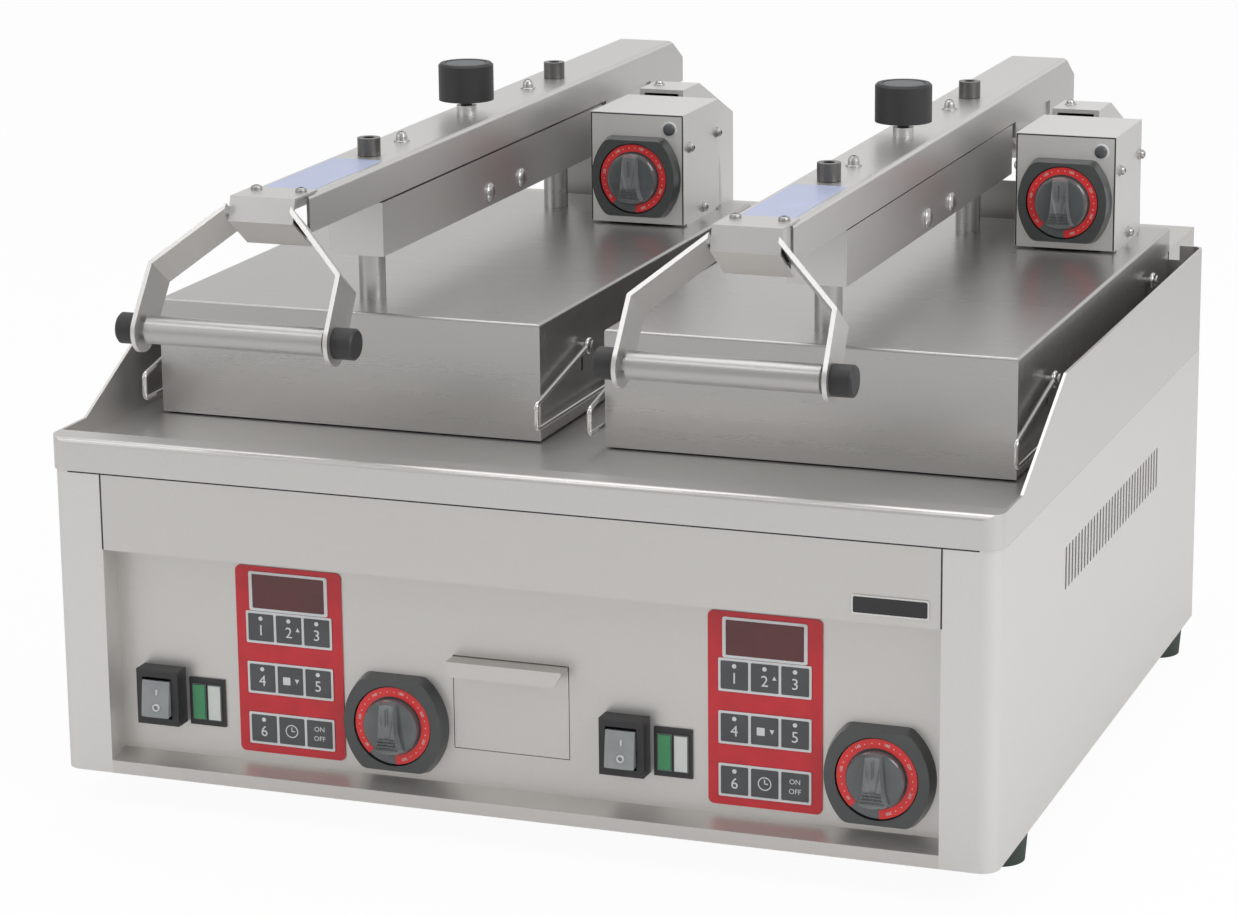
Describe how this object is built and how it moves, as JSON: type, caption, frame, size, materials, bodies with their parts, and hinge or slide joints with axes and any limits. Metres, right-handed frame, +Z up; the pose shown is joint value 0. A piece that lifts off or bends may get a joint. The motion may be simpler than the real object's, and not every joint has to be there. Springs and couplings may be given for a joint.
{
  "type": "clamshell griddle",
  "caption": "Countertop contact griddle with hinged hoods on long arms, bow handles, timer keypads, thermostat dials and a grease drawer.",
  "frame": {"origin": "centre of the footprint box on the floor, below the feet", "axes": "+X to the user's right seen from the front, +Y from the control panel towards the hinges, +Z up"},
  "size_m": [0.66, 0.8184, 0.467],
  "materials": {
    "steel_sheet": "brushed",
    "steel_bar": "satin",
    "steel_box": "satin",
    "steel_inner": "plain",
    "chrome_wire": "polished",
    "grip_steel": "polished",
    "plate_steel": "ground",
    "heater": "dark",
    "black_bolt": "black oxide",
    "foot_rubber": "matt",
    "black_plastic": "matt",
    "grey_plastic": "satin",
    "dial_plastic": "gloss",
    "lens_green": "clear tint",
    "lens_white": "clear tint",
    "keypad_film": "satin",
    "conduit": "satin",
    "inner_plastic": "matt"
  },
  "bodies": {
    "base": {"worktop": "steel_sheet", "casing_left": "steel_sheet", "casing_right": "steel_sheet", "base_tray": "steel_sheet", "rear_panel": "steel_sheet", "upper_fascia": "steel_sheet", "control_panel": "steel_sheet", "feet": "foot_rubber", "switch_housings": "black_plastic", "pilot_frames": "black_plastic", "pilot_lenses_green": "lens_green", "pilot_lenses_white": "lens_white", "keypads": "keypad_film", "thermostat_bezels": "grey_plastic", "thermostats": "inner_plastic", "electronics": "inner_plastic", "drawer_runners": "steel_inner", "griddle_plates": "plate_steel", "lower_heaters": "heater", "hinge_towers": "steel_box", "hinge_shafts": "steel_inner", "rear_housing": "steel_sheet", "cable_gland": "black_plastic"},
    "drawer": {"grease_drawer": "steel_sheet"},
    "arm_left": {"arm_channel_left": "steel_bar", "nose_cover_left": "steel_bar", "handle_bow_left": "steel_bar", "grip_tube_left": "grip_steel", "grip_caps_left": "black_plastic"},
    "lid_left": {"lid_beam_left": "steel_bar", "hood_left": "steel_sheet", "upper_plate_left": "plate_steel", "shoulder_bolts_left": "black_bolt", "control_box_left": "steel_box", "box_bezel_left": "grey_plastic", "box_conduit_left": "conduit", "sheet_wires_left": "chrome_wire"},
    "pad_left": {"adjuster_pad_left": "steel_inner"},
    "knob_left": {"adjuster_knob_left": "black_plastic"},
    "upper_dial_left": {"dial_upper_left": "dial_plastic"},
    "lower_dial_left": {"dial_lower_left": "dial_plastic"},
    "switch_left": {"rocker_left": "grey_plastic"},
    "arm_right": {"arm_channel_right": "steel_bar", "nose_cover_right": "steel_bar", "handle_bow_right": "steel_bar", "grip_tube_right": "grip_steel", "grip_caps_right": "black_plastic"},
    "lid_right": {"lid_beam_right": "steel_bar", "hood_right": "steel_sheet", "upper_plate_right": "plate_steel", "shoulder_bolts_right": "black_bolt", "control_box_right": "steel_box", "box_bezel_right": "grey_plastic", "box_conduit_right": "conduit", "sheet_wires_right": "chrome_wire"},
    "pad_right": {"adjuster_pad_right": "steel_inner"},
    "knob_right": {"adjuster_knob_right": "black_plastic"},
    "upper_dial_right": {"dial_upper_right": "dial_plastic"},
    "lower_dial_right": {"dial_lower_right": "dial_plastic"},
    "switch_right": {"rocker_right": "grey_plastic"}
  },
  "joints": [
    {"name": "drawer_slide", "type": "slide", "parent": "base", "child": "drawer", "axis": [0, -1, 0], "range_m": [0, 0.25]},
    {"name": "lid_hinge_left", "type": "hinge", "parent": "base", "child": "arm_left", "pos_m": [-0.165, 0.30725, 0.376], "axis": [-1, 0, 0], "range_deg": [0, 60]},
    {"name": "lid_float_left", "type": "slide", "parent": "arm_left", "child": "lid_left", "axis": [0, 0, 1], "range_m": [0, 0.008]},
    {"name": "height_lift_left", "type": "slide", "parent": "arm_left", "child": "pad_left", "axis": [0, 0, 1], "range_m": [0, 0.003]},
    {"name": "height_turn_left", "type": "hinge", "parent": "pad_left", "child": "knob_left", "pos_m": [-0.165, -0.00275, 0.434], "axis": [0, 0, 1], "range_deg": [0, 720]},
    {"name": "upper_dial_turn_left", "type": "hinge", "parent": "lid_left", "child": "upper_dial_left", "pos_m": [-0.078, 0.12025, 0.366], "axis": [0, 1, 0], "range_deg": [0, 300]},
    {"name": "lower_dial_turn_left", "type": "hinge", "parent": "base", "child": "lower_dial_left", "pos_m": [-0.087, -0.33275, 0.076], "axis": [0, 1, 0], "range_deg": [0, 300]},
    {"name": "switch_tilt_left", "type": "hinge", "parent": "base", "child": "switch_left", "pos_m": [-0.2585, -0.33975, 0.0795], "axis": [-1, 0, 0], "range_deg": [0, 14]},
    {"name": "lid_hinge_right", "type": "hinge", "parent": "base", "child": "arm_right", "pos_m": [0.165, 0.30725, 0.376], "axis": [-1, 0, 0], "range_deg": [0, 60]},
    {"name": "lid_float_right", "type": "slide", "parent": "arm_right", "child": "lid_right", "axis": [0, 0, 1], "range_m": [0, 0.008]},
    {"name": "height_lift_right", "type": "slide", "parent": "arm_right", "child": "pad_right", "axis": [0, 0, 1], "range_m": [0, 0.003]},
    {"name": "height_turn_right", "type": "hinge", "parent": "pad_right", "child": "knob_right", "pos_m": [0.165, -0.00275, 0.434], "axis": [0, 0, 1], "range_deg": [0, 720]},
    {"name": "upper_dial_turn_right", "type": "hinge", "parent": "lid_right", "child": "upper_dial_right", "pos_m": [0.252, 0.12025, 0.366], "axis": [0, 1, 0], "range_deg": [0, 300]},
    {"name": "lower_dial_turn_right", "type": "hinge", "parent": "base", "child": "lower_dial_right", "pos_m": [0.248, -0.33275, 0.076], "axis": [0, 1, 0], "range_deg": [0, 300]},
    {"name": "switch_tilt_right", "type": "hinge", "parent": "base", "child": "switch_right", "pos_m": [0.0765, -0.33975, 0.0795], "axis": [-1, 0, 0], "range_deg": [0, 14]}
  ],
  "couplings": [
    {"joint": "height_turn_left", "follows": "height_lift_left", "rad_per_m": 4188.8},
    {"joint": "height_turn_right", "follows": "height_lift_right", "rad_per_m": 4188.8}
  ]
}
